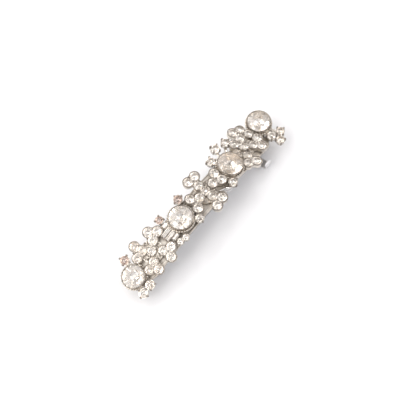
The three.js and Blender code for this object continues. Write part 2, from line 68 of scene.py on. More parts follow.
# ---------------------------------------------------------------- layout (mm)
CROWN_Z, ARCH_DROP, ARCH_X = 11.75, 6.0, 37.0
GIRDLE, GIRDLE_SINGLE, GIRDLE_LARGE, FOOT, WALL = 2.3, 2.1, 4.0, 0.14, 0.36
FLOWERS = {
    "flower_left": dict(x=-28.21, centre=(0.0, 1.85, 1.65), petals=dict(
        petal_a=[(3.3, 3.98, 1.85), (4.7, 7.52, 1.85), (7.3, 4.9, 1.8)],
        petal_b=[(-2.0, 4.75, 1.78), (-2.72, 8.33, 1.8), (-5.6, 4.52, 1.78)],
        petal_c=[(2.75, -1.5, 1.72), (5.9, -3.0, 1.75), (2.87, -5.44, 1.9)],
        petal_d=[(-2.7, -1.2, 1.72), (-6.1, -1.9, 1.72), (-3.73, -4.65, 1.85)])),
    "flower_mid": dict(x=1.96, centre=(0.0, 0.54, 1.6), petals=dict(
        petal_a=[(0.08, 4.06, 1.8), (2.2, 7.77, 1.8), (-1.4, 8.11, 1.8)],
        petal_b=[(4.4, 0.6, 1.85), (7.95, 2.76, 1.85), (7.95, -1.1, 1.85)],
        petal_c=[(0.0, -2.92, 1.78), (2.2, -5.95, 1.88), (-1.6, -6.65, 1.85)],
        petal_d=[(-3.56, 0.61, 1.8), (-6.34, 3.03, 1.85), (-7.2, -1.68, 1.88)])),
    "flower_right": dict(x=26.74, centre=(0.0, 1.81, 1.7), petals=dict(
        petal_a=[(2.09, 5.2, 1.85), (2.16, 9.0, 1.75), (5.39, 7.66, 1.72)],
        petal_b=[(3.24, -0.5, 1.75), (7.3, 0.42, 1.85), (5.58, -3.25, 1.8)],
        petal_c=[(-2.18, -1.9, 1.78), (-4.9, -4.3, 1.8), (-1.65, -6.2, 1.85)],
        petal_d=[(-1.89, 5.13, 1.8)],
        petal_e=[(6.24, 4.01, 1.72)])),
}
LARGE = {
    "setting_end_right": dict(x=39.0, tilt=0.15, big=(1.29, 4.3, 4.6), foot=(-3.5, 0.6), stone="large_stone_end_right", more=(((0.34, -2.99), (4.28, -4.4)), ((0.34, -2.99), (1.27, -6.8))),
        singles=dict(chaton_13=(0.34, -2.99, 1.7), chaton_14=(4.28, -4.4, 1.6), chaton_15=(1.27, -6.8, 1.65))),
    "setting_mid_right": dict(x=16.41, tilt=1, big=(0.0, 0.31, 4.9), foot=(0, 0), stone="large_stone_mid_right", more=(),
        singles=dict(chaton_01=(2.22, 9.4, 1.7), chaton_02=(7.1, 8.2, 1.65), chaton_03=(-3.4, 7.05, 1.65), chaton_12=(-4.74, -5.1, 1.65))),
    "setting_mid_left": dict(x=-12.2, tilt=1, big=(0.0, 0.81, 4.65), foot=(0, 0), stone="large_stone_mid_left", more=(),
        singles=dict(chaton_04=(5.25, 6.61, 1.7), chaton_09=(4.57, -4.6, 1.6))),
    "setting_end_left": dict(x=-39.19, tilt=1, big=(0.0, 1.1, 4.4), foot=(3.5, 0), stone="large_stone_end_left", more=(),
        singles=dict(chaton_06=(2.53, 8.1, 1.75), chaton_07=(-2.9, -5.45, 1.7), chaton_08=(1.2, -5.45, 1.75))),
}
COLLAR_OUT, COLLAR_Z = 0.72, 2.05
BAG_X = -18.85
BAGUETTES = dict(baguette_1=(1.25, 4.1, 1.6, 0.78), baguette_2=(-0.75, 2.05, 2.45, 0.86),
                 baguette_3=(-0.75, 0.0, 2.45, 0.8), baguette_4=(0.15, -1.95, 1.6, 0.76))
BAG_SINGLES = dict(chaton_05=(1.3, 7.1, 1.5), chaton_10=(2.35, -5.2, 1.15), chaton_11=(-0.1, -4.6, 1.15))
LEAF = dict(x=10.0, ends=((-4.3, -3.05), (0.95, -6.2)), half=1.15, z0=0.5, z1=1.35)


def arch_z(x):
    return CROWN_Z - ARCH_DROP * (x / ARCH_X) ** 2


def station(x, tilt=1.0):
    th = tilt * math.atan(-2 * ARCH_DROP * x / ARCH_X ** 2)
    c, s = math.cos(th), math.sin(th)
    return Matrix(((c, 0, -s, x), (0, 1, 0, 0), (s, 0, c, arch_z(x)), (0, 0, 0, 1)))


# ---------------------------------------------------------------- camera
AZ, EL, PX_MM = math.radians(-50.9), math.radians(68.0), 2.60
BACK = Vector((math.sin(AZ) * math.cos(EL), -math.cos(AZ) * math.cos(EL), math.sin(EL)))
RIGHT = Vector((math.cos(AZ), math.sin(AZ), 0))
UP = BACK.cross(RIGHT)
FOCAL_PX = 100.0 / 36.0 * 400
aim = Vector((-2.0, 0, 11.0)) + UP * (2.5 / PX_MM)
cam_data = bpy.data.cameras.new("camera")
cam_data.lens, cam_data.sensor_width = 100.0, 36.0
cam_data.clip_start, cam_data.clip_end = 0.01, 10
cam = bpy.data.objects.new("camera", cam_data)
bpy.context.scene.collection.objects.link(cam)
loc = (aim + BACK * (FOCAL_PX / PX_MM)) * MM
cam.matrix_world = Matrix(((RIGHT.x, UP.x, BACK.x, loc.x), (RIGHT.y, UP.y, BACK.y, loc.y), (RIGHT.z, UP.z, BACK.z, loc.z), (0, 0, 0, 1)))
bpy.context.scene.camera = cam
bpy.context.scene.view_settings.view_transform = "Standard"
# light bounces many times inside a foiled stone
cyc = getattr(bpy.context.scene, "cycles", None)
if cyc is not None:
    cyc.max_bounces, cyc.glossy_bounces, cyc.transmission_bounces = 16, 9, 14


# ---------------------------------------------------------------- materials
def new_mat(name):
    m = bpy.data.materials.new(name)
    m.use_nodes = True
    nt = m.node_tree
    return m, nt, nt.nodes["Principled BSDF"]


def node(nt, kind, **inputs):
    n = nt.nodes.new(kind)
    for k, v in inputs.items():
        n.inputs[k.replace("_", " ")].default_value = v
    return n


def coords(nt, scale=(1, 1, 1)):
    tc = nt.nodes.new("ShaderNodeTexCoord")
    mp = node(nt, "ShaderNodeMapping")
    mp.inputs["Scale"].default_value = scale
    nt.links.new(tc.outputs["Object"], mp.inputs["Vector"])
    return mp.outputs["Vector"]


def ramp(nt, src, stops):
    r = nt.nodes.new("ShaderNodeValToRGB")
    els = r.color_ramp.elements
    while len(els) < len(stops):
        els.new(0.5)
    for e, (p, c) in zip(els, stops):
        e.position, e.color = p, (*c, 1) if len(c) == 3 else c
    nt.links.new(src, r.inputs["Fac"])
    return r


def plating(name, light, dark, rough, crevice=0.0007, brushed=None, patina=0.35):
    """Silver-coloured plating: painted shade darkens the recesses, partly standing for tarnish; finely worn, faintly
    mottled.
    """
    m, nt, p = new_mat(name)
    p.inputs["Metallic"].default_value = 1.0
    v = coords(nt)
    # painted shade: ambient occlusion within `crevice` blends the colour from `dark` in recesses to `light` in the open
    ao = node(nt, "ShaderNodeAmbientOcclusion", Distance=crevice)
    ao.samples = 6
    painted_shade = ramp(nt, ao.outputs["AO"], [(0.18, dark), (0.72, light)])
    mott = node(nt, "ShaderNodeTexNoise", Scale=420.0, Detail=5.0, Roughness=0.6)
    nt.links.new(v, mott.inputs["Vector"])
    mr = ramp(nt, mott.outputs["Fac"], [(0.32, (1 - patina,) * 3), (0.62, (1, 1, 1))])
    mul = nt.nodes.new("ShaderNodeMix")
    mul.data_type, mul.blend_type = "RGBA", "MULTIPLY"
    mul.inputs["Factor"].default_value = 1.0
    nt.links.new(painted_shade.outputs["Color"], mul.inputs["A"])
    nt.links.new(mr.outputs["Color"], mul.inputs["B"])
    nt.links.new(mul.outputs["Result"], p.inputs["Base Color"])
    fine = node(nt, "ShaderNodeTexNoise", Scale=1900.0 if brushed is None else 900.0, Detail=6.0, Roughness=0.7)
    nt.links.new(coords(nt, brushed) if brushed else v, fine.inputs["Vector"])
    rr = node(nt, "ShaderNodeMapRange")
    rr.inputs["To Min"].default_value, rr.inputs["To Max"].default_value = rough
    rr.inputs["From Min"].default_value, rr.inputs["From Max"].default_value = 0.3, 0.7
    nt.links.new(fine.outputs["Fac"], rr.inputs["Value"])
    nt.links.new(rr.outputs["Result"], p.inputs["Roughness"])
    b = node(nt, "ShaderNodeBump", Strength=0.12 if brushed is None else 0.22, Distance=0.00004)
    nt.links.new(fine.outputs["Fac"], b.inputs["Height"])
    nt.links.new(b.outputs["Normal"], p.inputs["Normal"])
    return m


def crystal(name, tint=(0.985, 0.97, 0.95)):
    m, nt, p = new_mat(name)
    p.inputs["Transmission Weight"].default_value = 1.0
    p.inputs["IOR"].default_value = 1.57
    v = coords(nt)
    n = node(nt, "ShaderNodeTexNoise", Scale=900.0, Detail=2.0)
    nt.links.new(v, n.inputs["Vector"])
    r = ramp(nt, n.outputs["Fac"], [(0.35, tuple(c * 0.97 for c in tint)), (0.65, tint)])
    nt.links.new(r.outputs["Color"], p.inputs["Base Color"])
    rr = node(nt, "ShaderNodeMapRange")
    rr.inputs["To Min"].default_value, rr.inputs["To Max"].default_value = 0.0, 0.05
    nt.links.new(n.outputs["Fac"], rr.inputs["Value"])
    nt.links.new(rr.outputs["Result"], p.inputs["Roughness"])
    return m


def foil(name, light=(0.96, 0.93, 0.89), dull=(0.78, 0.72, 0.67), rough=(0.06, 0.2)):
    """Mirror foil behind a stone, aged in small patches."""
    m, nt, p = new_mat(name)
    p.inputs["Metallic"].default_value = 1.0
    v = coords(nt)
    n = node(nt, "ShaderNodeTexNoise", Scale=700.0, Detail=4.0, Roughness=0.65)
    nt.links.new(v, n.inputs["Vector"])
    r = ramp(nt, n.outputs["Fac"], [(0.34, dull), (0.6, light)])
    nt.links.new(r.outputs["Color"], p.inputs["Base Color"])
    rr = node(nt, "ShaderNodeMapRange")
    rr.inputs["To Min"].default_value, rr.inputs["To Max"].default_value = rough[1], rough[0]
    rr.inputs["From Min"].default_value, rr.inputs["From Max"].default_value = 0.3, 0.65
    nt.links.new(n.outputs["Fac"], rr.inputs["Value"])
    nt.links.new(rr.outputs["Result"], p.inputs["Roughness"])
    return m


# each plating: colour in the open, painted-shade colour in the recesses, roughness range
SILVER = plating("silver_casting", (0.86, 0.80, 0.72), (0.62, 0.54, 0.455), (0.20, 0.38), crevice=0.0006)
CUP = plating("silver_cup", (0.84, 0.78, 0.70), (0.60, 0.52, 0.44), (0.18, 0.34), crevice=0.0006)
# prong and rim metal: the casting's plating painted far darker, painted shade for the dark outlines round cup rims,
# prongs, beads and channel rails
PRONG_SHADED = plating("prong_metal_painted_shade", (0.43, 0.38, 0.33), (0.22, 0.185, 0.15), (0.20, 0.38), crevice=0.0004, patina=0.5)
RIM_SHADED = plating("rim_metal_painted_shade", (0.41, 0.365, 0.315), (0.22, 0.185, 0.15), (0.20, 0.38), crevice=0.0004, patina=0.45)
# catch-leg steel: the clip steel painted lighter, with lighter painted shade, as painted light so the catch legs read
# as brightly lit
LEG_M_LIT = plating("catch_steel_painted_light", (0.80, 0.79, 0.785), (0.5, 0.49, 0.48), (0.26, 0.42), crevice=0.0006, brushed=(1.5, 0.12, 1.5), patina=0.15)
STRIP = plating("strip_metal", (0.68, 0.63, 0.565), (0.40, 0.35, 0.295), (0.30, 0.46), crevice=0.0012, brushed=(0.12, 1.6, 1.6))
LEAF_M = plating("leaf_metal", (0.74, 0.72, 0.70), (0.28, 0.25, 0.22), (0.16, 0.30), crevice=0.0009, brushed=(0.4, 1.2, 1.2))
STEEL = plating("clip_steel", (0.66, 0.66, 0.665), (0.26, 0.25, 0.245), (0.24, 0.42), crevice=0.001, brushed=(0.12, 1.5, 1.5), patina=0.2)
SPRING = plating("spring_steel", (0.60, 0.61, 0.625), (0.24, 0.24, 0.245), (0.2, 0.38), crevice=0.001, brushed=(0.1, 1.6, 1.6), patina=0.2)
RIVET = plating("rivet_steel", (0.66, 0.655, 0.65), (0.22, 0.21, 0.20), (0.2, 0.36), crevice=0.0008, patina=0.25)
GLASS = [crystal("crystal_clear", (0.99, 0.978, 0.955)), crystal("crystal_warm", (0.985, 0.962, 0.93)), crystal("crystal_rose", (0.97, 0.93, 0.905))]
FOIL = [foil("foil_bright", (0.985, 0.97, 0.945), (0.82, 0.77, 0.715)), foil("foil_warm", (0.975, 0.95, 0.915), (0.80, 0.74, 0.675)),
        foil("foil_rose", (0.85, 0.77, 0.725), (0.58, 0.50, 0.45))]


# ---------------------------------------------------------------- mesh building (mm in, metres out)
class Build:
    def __init__(self):
        self.v, self.f, self.m, self.s = [], [], [], []

    def add(self, verts, faces, mat=0, smooth=False, frame=None):
        k = len(self.v)
        for p in verts:
            p = Vector(p)
            if frame is not None:
                p = frame @ p
            self.v.append(p * MM)
        for i, f in enumerate(faces):
            self.f.append([k + j for j in f])
            self.m.append(mat[i] if isinstance(mat, (list, tuple)) else mat)
            self.s.append(smooth)

    def make(self, name, mats):
        me = bpy.data.meshes.new(name)
        me.from_pydata([tuple(p) for p in self.v], [], self.f)
        for mt in mats:
            me.materials.append(mt)
        me.polygons.foreach_set("material_index", self.m)
        me.polygons.foreach_set("use_smooth", self.s)
        me.validate()
        me.update()
        ob = bpy.data.objects.new(name, me)
        bpy.context.scene.collection.objects.link(ob)
        return ob


def lathe(b, profile, segs, frame, mat=0, smooth=True, phase=0.0, wobble=None):
    """Turned form about local +W; the profile runs from bottom axis outward to top axis."""
    verts, rings = [], []
    for r, z in profile:
        if r <= 1e-6:
            rings.append([len(verts)])
            verts.append((0, 0, z))
        else:
            ring = []
            for i in range(segs):
                t = phase + 2 * math.pi * i / segs
                k = 1 + (wobble(t) if wobble else 0)
                ring.append(len(verts))
                verts.append((r * k * math.cos(t), r * k * math.sin(t), z))
            rings.append(ring)
    faces = []
    for a, c in zip(rings, rings[1:]):
        for i in range(segs):
            j = (i + 1) % segs
            if len(a) == 1 and len(c) == 1:
                continue
            if len(a) == 1:
                faces.append([a[0], c[j], c[i]])
            elif len(c) == 1:
                faces.append([a[i], a[j], c[0]])
            else:
                faces.append([a[i], a[j], c[j], c[i]])
    b.add(verts, faces, mat, smooth, frame)


def ball(b, u, v, w, r, frame, mat=0, segs=10, rings=6, squash=1.0):
    prof = [(r * math.sin(math.pi * i / rings), -squash * r * math.cos(math.pi * i / rings)) for i in range(rings + 1)]
    prof[0], prof[-1] = (0, prof[0][1]), (0, prof[-1][1])
    lathe(b, prof, segs, frame @ Matrix.Translation((u, v, w)), mat)


def brilliant(b, r, frame, glass=0, back=1, table=0.54, crown=0.28, depth=0.75, girdle=0.05, fold=8, knee=0.42, knee_z=0.58):
    """Round cut stone: table, stars, kites and girdle facets over a steep foiled pavilion with a flatter point."""
    ht, hm, rm = crown * r, crown * r * 0.60, (0.5 + 0.5 * table + 0.03) * r
    st = math.tau / fold
    V, F, M = [], [], []

    def ring(n, rad, z, off=0.0):
        k = len(V)
        V.extend([(rad * math.cos((i + off) * math.tau / n), rad * math.sin((i + off) * math.tau / n), z) for i in range(n)])
        return [k + i for i in range(n)]

    def face(*idx, mat):
        F.append(list(idx))
        M.append(mat)
    n2 = 2 * fold
    T = ring(fold, table * r, ht)
    Mi = ring(fold, rm, hm, 0.5)
    G = ring(n2, r, girdle * r / 2)
    H = ring(n2, r, -girdle * r / 2)
    P = ring(fold, knee * r, -knee_z * r)
    C = len(V)
    V.append((0, 0, -depth * r))
    face(*T, mat=glass)
    for k in range(fold):
        k1 = (k + 1) % fold
        face(T[k], Mi[k], T[k1], mat=glass)
        face(T[k], Mi[k - 1], G[2 * k], mat=glass)
        face(T[k], G[2 * k], Mi[k], mat=glass)
        face(Mi[k], G[2 * k], G[2 * k + 1], mat=glass)
        face(Mi[k], G[2 * k + 1], G[(2 * k + 2) % n2], mat=glass)
        face(H[2 * k], P[k], H[2 * k + 1], mat=back)
        face(P[k], P[k1], H[2 * k + 1], mat=back)
        face(P[k1], H[(2 * k + 2) % n2], H[2 * k + 1], mat=back)
        face(P[k], C, P[k1], mat=back)
    for j in range(n2):
        face(G[j], H[j], H[(j + 1) % n2], G[(j + 1) % n2], mat=back)
    # every face turned outward from the stone's middle
    for i, f in enumerate(F):
        a, c, d = Vector(V[f[0]]), Vector(V[f[1]]), Vector(V[f[2]])
        if (c - a).cross(d - a).dot(sum((Vector(V[j]) for j in f), Vector()) / len(f)) < 0:
            F[i] = f[::-1]
    b.add(V, F, M, False, frame)


def seat(u, v, w, turn=None, tilt=0.05):
    t = rng.uniform(0, math.tau) if turn is None else turn
    return (Matrix.Translation((u, v, w)) @ Matrix.Rotation(rng.uniform(-tilt, tilt), 4, "X")
            @ Matrix.Rotation(rng.uniform(-tilt, tilt), 4, "Y") @ Matrix.Rotation(t, 4, "Z"))


def collet(b, u, v, r, g, frame, mat=0, segs=28, wall=0.3, lift=0.12, taper=0.93, foot=FOOT):
    """Thin-walled cup with a rolled rim."""
    o = r + wall
    prof = [(0, foot), (o * taper - 0.06, foot), (o * taper, foot + 0.07), (o - 0.02, g - 0.32), (o, g - 0.12), (o + 0.03, g + 0.02),
            (o + 0.01, g + lift * 0.8), (o - 0.08, g + lift), (r + 0.03, g + lift * 0.75), (r + 0.01, g + 0.02), (r + 0.02, g - 0.08),
            (r + 0.02, g - 0.84 * r), (0, g - 0.84 * r)]
    lathe(b, prof, segs, frame @ Matrix.Translation((u, v, 0)), mat)


def strut(b, p, q, frame, half, z0, z1, mat=0):
    (u0, v0), (u1, v1) = p, q
    L = math.hypot(u1 - u0, v1 - v0)
    if L < 1e-6:
        return
    d, e = ((u1 - u0) / L, (v1 - v0) / L), (-(v1 - v0) / L, (u1 - u0) / L)
    c = 0.16
    ring = [(-half, z0), (half, z0), (half, z1 - c), (half - c, z1), (-half + c, z1), (-half, z1 - c)]
    V = []
    for s in (0, L):
        for y, z in ring:
            V.append((u0 + d[0] * s + e[0] * y, v0 + d[1] * s + e[1] * y, z))
    n = len(ring)
    F = [[i, (i + 1) % n, n + (i + 1) % n, n + i] for i in range(n)] + [list(range(n))[::-1], [n + i for i in range(n)]]
    b.add(V, F, mat, False, frame)


def claw(b, u, v, r, g, frame, ang, mat=1, tip=0.42):
    """One prong: a leaning round wire with a ball tip over the girdle."""
    c, s = math.cos(ang), math.sin(ang)
    path = [(r + 0.10, 0.35, 0.22), (r + 0.36, 0.9, 0.24), (r + 0.44, g - 0.35, 0.25), (r + 0.42, g + 0.05, 0.24), (r + 0.28, g + 0.3, 0.22)]
    V, F, n = [], [], 8
    for q, z, w in path:
        for i in range(n):
            t = 2 * math.pi * i / n
            a, h = q + w * math.cos(t), w * math.sin(t)
            V.append((u + c * a - s * h, v + s * a + c * h, z))
    for k in range(len(path) - 1):
        for i in range(n):
            j = (i + 1) % n
            F.append([k * n + i, k * n + j, (k + 1) * n + j, (k + 1) * n + i])
    F.append([i for i in range(n)][::-1])
    F.append([(len(path) - 1) * n + i for i in range(n)])
    b.add(V, F, mat, True, frame)
    ball(b, u + c * (r + 0.22), v + s * (r + 0.22), g + 0.34, tip, frame, mat, squash=0.85)


def fine(name, build, mats, cad, slot):
    ob = build.make(name, mats)
    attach(ob, "clip_back")
    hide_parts(*cad)
    return ob


# ---------------------------------------------------------------- flowers
def tone(k=None):
    return rng.choices((0, 1), (3, 2))[0] if k is None else k


def outline(circles, level, wall, soft, n=84):
    """Plan outline of a petal: a soft union of its stone circles, at a distance inside or outside its edge."""
    cx, cy = sum(c[0] for c in circles) / len(circles), sum(c[1] for c in circles) / len(circles)

    def sd(x, y):
        d = None
        for u, v, r in circles:
            q = math.hypot(x - u, y - v) - r - wall
            if d is None:
                d = q
            else:
                h = max(soft - abs(d - q), 0.0) / soft
                d = min(d, q) - h * h * soft / 4
        return d - level
    pts = []
    for i in range(n):
        t = math.tau * i / n
        c, s_ = math.cos(t), math.sin(t)
        hi = 8.0
        while hi > 0.1 and sd(cx + c * hi, cy + s_ * hi) > 0:
            hi -= 0.12
        lo, hi = hi, hi + 0.12
        for _ in range(14):
            m_ = (lo + hi) / 2
            if sd(cx + c * m_, cy + s_ * m_) > 0:
                hi = m_
            else:
                lo = m_
        pts.append((cx + c * lo, cy + s_ * lo))
    return pts, (cx, cy)


def plate(b, circles, fr, g, wall=0.34, soft=1.1, mat=0, rim=1):
    """A petal: solid metal with a raised outline and one seat for each stone."""
    levels = [(-0.34, FOOT + 0.04), (-0.16, FOOT + 0.04), (-0.10, FOOT + 0.12), (-0.05, 1.0), (0.0, g - 0.45), (0.035, g - 0.2),
              (0.05, g - 0.02), (0.03, g + 0.10), (-0.05, g + 0.17), (-0.15, g + 0.16), (-0.22, g + 0.06), (-0.25, g - 0.07)]
    n = 84
    V, F, M, rings = [], [], [], []
    for lv, z in levels:
        pts, cen = outline(circles, lv, wall, soft, n)
        rings.append(len(V))
        V += [(x, y, z) for x, y in pts]
    for k in range(len(levels) - 1):
        for i in range(n):
            j = (i + 1) % n
            F.append([rings[k] + i, rings[k] + j, rings[k + 1] + j, rings[k + 1] + i])
            # the upper rings of the outline take the rim metal, painted dark as shade
            M.append(rim if k >= 4 else mat)
    c0 = len(V)
    V.append((cen[0], cen[1], FOOT + 0.04))
    for i in range(n):
        F.append([c0, rings[0] + (i + 1) % n, rings[0] + i])
        M.append(mat)
    # top face with a round hole for each stone
    pts, _ = outline(circles, levels[-1][0], wall, soft, n)
    ztop, seats, sn = levels[-1][1], [], 28
    flat = [Vector(q) for q in pts]
    edges = [(i, (i + 1) % n) for i in range(n)]
    for u, v, r in circles:
        k = len(flat)
        flat += [Vector((u + (r + 0.015) * math.cos(math.tau * i / sn), v + (r + 0.015) * math.sin(math.tau * i / sn))) for i in range(sn)]
        edges += [(k + i, k + (i + 1) % sn) for i in range(sn)]
        seats.append(k)
    vo, _, fo, *_ = delaunay_2d_cdt(flat, edges, [], 0, 1e-7)
    top = []
    for q in vo:
        top.append(len(V))
        V.append((q.x, q.y, ztop))
    # the outline's own points are reused so that the face joins the rim
    for i in range(n):
        best = min(range(len(vo)), key=lambda t: (vo[t] - flat[i]).length_squared)
        top[best] = rings[-1] + i
    for f_ in fo:
        c_ = sum((vo[t] for t in f_), Vector((0, 0))) / len(f_)
        if any((c_ - Vector(q[:2])).length < q[2] for q in circles):
            continue
        if not inside(c_, flat[:n]):
            continue
        F.append([top[t] for t in f_])
        M.append(mat)
    for (u, v, r), k in zip(circles, seats):
        idx = [top[min(range(len(vo)), key=lambda t: (vo[t] - flat[k + i]).length_squared)] for i in range(sn)]
        zf = g - 0.84 * r
        low = len(V)
        V += [(u + (r + 0.015) * math.cos(math.tau * i / sn), v + (r + 0.015) * math.sin(math.tau * i / sn), zf) for i in range(sn)]
        cc = len(V)
        V.append((u, v, zf))
        for i in range(sn):
            j = (i + 1) % sn
            F.append([idx[i], idx[j], low + j, low + i])
            M.append(mat)
            F.append([low + i, low + j, cc])
            M.append(mat)
    b.add(V, F, M, False, fr)


def inside(p_, poly):
    hit = False
    for i in range(len(poly)):
        a, c = poly[i], poly[i - 1]
        if (a.y > p_.y) != (c.y > p_.y) and p_.x < (c.x - a.x) * (p_.y - a.y) / (c.y - a.y) + a.x:
            hit = not hit
    return hit


def prism(b, outer, holes, z0, z1, fr, mat=0, sn=26):
    """Flat solid of an outline with round holes through it."""
    flat, edges, polys = [Vector(q) for q in outer], [], []
    n = len(flat)
    edges += [(i, (i + 1) % n) for i in range(n)]
    for u, v, r in holes:
        poly = [Vector((u + r * math.cos(math.tau * i / sn), v + r * math.sin(math.tau * i / sn))) for i in range(sn)]
        k = len(flat)
        flat += poly
        edges += [(k + i, k + (i + 1) % sn) for i in range(sn)]
        polys.append(poly)
    vo, _, fo, *_ = delaunay_2d_cdt(flat, edges, [], 0, 1e-6)
    out = [Vector(q) for q in outer]
    keep = []
    for f_ in fo:
        c_ = sum((vo[t] for t in f_), Vector((0, 0))) / len(f_)
        if inside(c_, out) and not any(inside(c_, q) for q in polys):
            keep.append(list(f_))
    m_ = len(vo)
    V = [(q.x, q.y, z1) for q in vo] + [(q.x, q.y, z0) for q in vo]
    F = [f_ for f_ in keep] + [[m_ + t for t in f_[::-1]] for f_ in keep]
    sides = {}
    for f_ in keep:
        for a, c in zip(f_, f_[1:] + f_[:1]):
            sides[(a, c)] = True
    F += [[c, a, m_ + a, m_ + c] for (a, c) in sides if (c, a) not in sides]
    used = sorted({t for f_ in F for t in f_})
    back = {t: i for i, t in enumerate(used)}
    b.add([V[t] for t in used], [[back[t] for t in f_] for f_ in F], mat, False, fr)


# every cup in plan, so that beads are left off where a neighbour stands
CUPS = []
for name, f in FLOWERS.items():
    fr = station(f["x"])
    for u, v, r in [f["centre"]] + [q for lst in f["petals"].values() for q in lst]:
        CUPS.append((name, *(fr @ Vector((u, v, GIRDLE)))[:2], r))
for name, q in LARGE.items():
    fr = station(q["x"], q["tilt"])
    CUPS.append((name, *(fr @ Vector((q["big"][0], q["big"][1], GIRDLE)))[:2], q["big"][2]))
    for u, v, r in q["singles"].values():
        CUPS.append((name + "_s", *(fr @ Vector((u, v, GIRDLE)))[:2], r))
fr = station(BAG_X)
for u, v, r in BAG_SINGLES.values():
    CUPS.append(("baguette_channel", *(fr @ Vector((u, v, GIRDLE)))[:2], r))


def clear_of(owner, fr, u, v, w, room):
    q = fr @ Vector((u, v, w))
    return all(n_ == owner or math.hypot(q.x - x, q.y - y) > r + room for n_, x, y, r in CUPS)


for name, f in FLOWERS.items():
    fr = station(f["x"])
    b = Build()
    cu, cv, cr = f["centre"]
    collet(b, cu, cv, cr, GIRDLE + 0.15, fr, 0, wall=0.26, lift=0.08)
    for i in range(6):
        t = 0.4 + i * math.pi / 3
        ball(b, cu + (cr + 0.08) * math.cos(t), cv + (cr + 0.08) * math.sin(t), GIRDLE + 0.28, 0.27, fr, 1, 8, 5)
    # hub between the petals, with small grains in the gaps
    own = [(q[0], q[1], q[2]) for lst in f["petals"].values() for q in lst] + [f["centre"]]
    hub = [(cu + 4.55 * math.cos(math.tau * i / 48), cv + 4.55 * math.sin(math.tau * i / 48)) for i in range(48)]
    prism(b, hub, [(u, v, r + 0.24) for u, v, r in own], FOOT + 0.05, 1.58, fr, 0)
    for i in range(-8, 9):
        for j in range(-8, 9):
            x, y = 0.80 * (i + 0.5 * (j % 2)) + rng.uniform(-0.09, 0.09), 0.70 * j + rng.uniform(-0.09, 0.09)
            if math.hypot(x, y) < 4.35 and all(math.hypot(cu + x - q[0], cv + y - q[1]) > q[2] + 0.40 for q in own):
                ball(b, cu + x, cv + y, 1.70, rng.uniform(0.30, 0.40), fr, rng.choice((0, 0, 1)), 8, 5)
    for petal, lst in f["petals"].items():
        strut(b, (cu, cv), lst[0][:2], fr, 0.7, FOOT + 0.05, 1.3)
        plate(b, lst, fr, GIRDLE, mat=0, rim=2)
        px, py = sum(q[0] for q in lst) / len(lst), sum(q[1] for q in lst) / len(lst)
        beads = []
        if len(lst) == 3:
            beads.append((px, py, 0.36))
            for i in range(3):
                (u0, v0, r0), (u1, v1, r1) = lst[i], lst[(i + 1) % 3]
                d = math.hypot(u1 - u0, v1 - v0)
                mx, my = u0 + (u1 - u0) * r0 / (r0 + r1), v0 + (v1 - v0) * r0 / (r0 + r1)
                ox, oy = mx - px, my - py
                k = math.hypot(ox, oy) or 1
                beads.append((mx + ox / k * 0.95, my + oy / k * 0.95, 0.33))
                if d > r0 + r1 + 0.25:
                    beads.append((mx, my, 0.26))
        for u, v, r in lst:
            away = math.atan2(v - py, u - px) if len(lst) == 3 else math.atan2(v - cv, u - cu)
            for k in ((-0.95, 0.0, 0.95) if len(lst) == 3 else (-2.2, -1.1, 0.0, 1.1, 2.2)):
                beads.append((u + (r + 0.06) * math.cos(away + k), v + (r + 0.06) * math.sin(away + k), 0.25))
        for u, v, q in beads:
            ball(b, u, v, GIRDLE + 0.08, q, fr, 1, 8, 5)
    fine(name + "_setting_fine", b, [SILVER, PRONG_SHADED, RIM_SHADED], [name + "_casting"], "casting")
    groups = {name + "_centre_stone": [f["centre"]]}
    groups.update({f"{name}_{p}_stones": lst for p, lst in f["petals"].items()})
    for node_name, lst in groups.items():
        sb = Build()
        g = GIRDLE + (0.15 if "centre" in node_name else 0)
        k = 0 if "centre" in node_name else tone()
        for u, v, r in lst:
            brilliant(sb, r - 0.01, fr @ seat(u, v, g, tilt=0.09))
        fine(node_name + "_fine", sb, [GLASS[k], FOIL[k]], [node_name], "crystal_small")

# ---------------------------------------------------------------- large stones and single chatons
def chaton(b, u, v, r, fr, phase, claws=4):
    collet(b, u, v, r, GIRDLE_SINGLE - 0.05, fr, 0, 24, wall=0.2, lift=0.02)
    for i in range(claws):
        claw(b, u, v, r - 0.02, GIRDLE_SINGLE, fr, phase + i * math.tau / claws)


def stone_node(node_name, u, v, r, g, fr, k, slot, turn=None, tilt=0.05, **kw):
    sb = Build()
    brilliant(sb, r, fr @ seat(u, v, g, turn, tilt), **kw)
    return fine(node_name + "_fine", sb, [GLASS[k], FOIL[k]], [node_name], slot)


